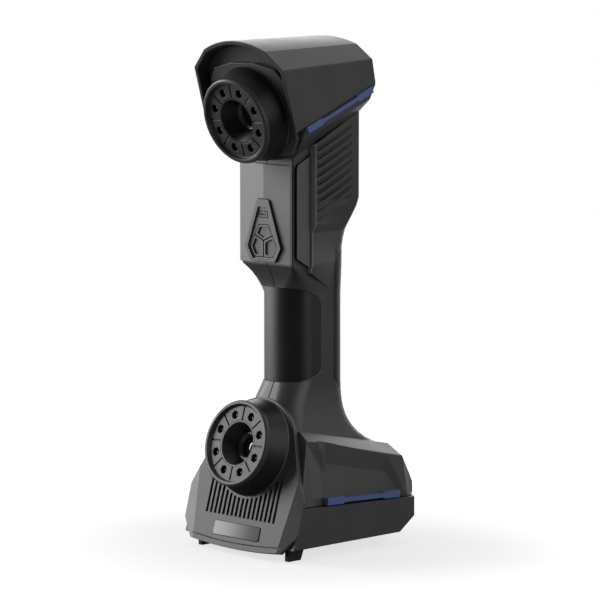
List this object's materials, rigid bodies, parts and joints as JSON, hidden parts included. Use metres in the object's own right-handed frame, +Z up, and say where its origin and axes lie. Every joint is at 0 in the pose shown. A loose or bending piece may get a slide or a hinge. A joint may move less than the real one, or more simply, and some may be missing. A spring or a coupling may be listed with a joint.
{
  "type": "hand-held three-dimensional scanner",
  "caption": "Upright hand-held scanner: a hooded head and a wide base, each with a leaning ring-lit camera, joined by a rubber-gripped handle with a key cluster above it.",
  "frame": {"origin": "on the floor under the middle of the object's bounding box", "axes": "+Z up the handle, -Y the way the cameras look, +X to the right seen from the front"},
  "size_m": [0.0924, 0.1156, 0.2897],
  "materials": {
    "case_plastic": "fine satin grain",
    "hood_plastic": "fine satin grain",
    "plate_grey": "satin",
    "panel_grey": "satin",
    "key_black": "satin",
    "key_cap": "satin",
    "name_plate": "satin",
    "trim_blue": "satin",
    "grip_rubber": "soft satin",
    "barrel_black": "matte",
    "bezel_black": "satin",
    "lens_metal": "satin black",
    "lens_glass": "coated",
    "lamp_clear": "clear",
    "board_green": "solder mask",
    "chip_black": "moulded",
    "frame_aluminium": "machined",
    "badge_silver": "brushed",
    "steel": "plain"
  },
  "bodies": {
    "scanner": {"badge_plate": "badge_silver", "base_cover": "case_plastic", "base_screws": "steel", "board_chips": "chip_black", "cable_socket": "steel", "case_screws": "steel", "chassis": "frame_aluminium", "fan_frame": "chip_black", "fin_panel_left": "case_plastic", "fin_panel_right": "case_plastic", "front_feet": "grip_rubber", "front_grip": "grip_rubber", "front_panel": "panel_grey", "head_tray": "case_plastic", "hood": "hood_plastic", "housing_left": "case_plastic", "housing_right": "case_plastic", "key_bezel": "key_black", "key_board": "board_green", "key_switches": "chip_black", "lower_baffle": "barrel_black", "lower_barrel": "barrel_black", "lower_bezel": "bezel_black", "lower_camera": "frame_aluminium", "lower_clip_left": "trim_blue", "lower_clip_right": "trim_blue", "lower_front_plate": "plate_grey", "lower_lamp_board": "board_green", "lower_lamps": "lamp_clear", "lower_lens": "lens_glass", "lower_lens_barrel": "lens_metal", "main_board": "board_green", "name_plate_left": "name_plate", "name_plate_right": "name_plate", "rear_foot": "grip_rubber", "rear_grip": "grip_rubber", "upper_back_plate": "case_plastic", "upper_baffle": "barrel_black", "upper_barrel": "barrel_black", "upper_bezel": "bezel_black", "upper_camera": "frame_aluminium", "upper_clip_left": "trim_blue", "upper_clip_right": "trim_blue", "upper_collar": "plate_grey", "upper_lamp_board": "board_green", "upper_lamps": "lamp_clear", "upper_lens": "lens_glass", "upper_lens_barrel": "lens_metal"},
    "fan": {"fan_rotor": "chip_black"},
    "power_key": {"power_key": "key_cap"},
    "scan_key": {"scan_key": "key_cap"},
    "left_key": {"left_key": "key_cap"},
    "right_key": {"right_key": "key_cap"}
  },
  "joints": [
    {"name": "fan_spin", "type": "hinge", "parent": "scanner", "child": "fan", "pos_m": [0, -0.04207, 0.02862], "axis": [0, -0.9588, 0.284], "continuous": true},
    {"name": "power_key_press", "type": "slide", "parent": "scanner", "child": "power_key", "axis": [0, 1, 0], "range_m": [0, 0.0008], "stiffness_N_per_m": 900},
    {"name": "scan_key_press", "type": "slide", "parent": "scanner", "child": "scan_key", "axis": [0, 1, 0], "range_m": [0, 0.0008], "stiffness_N_per_m": 900},
    {"name": "left_key_press", "type": "slide", "parent": "scanner", "child": "left_key", "axis": [0, 1, 0], "range_m": [0, 0.0008], "stiffness_N_per_m": 900},
    {"name": "right_key_press", "type": "slide", "parent": "scanner", "child": "right_key", "axis": [0, 1, 0], "range_m": [0, 0.0008], "stiffness_N_per_m": 900}
  ]
}
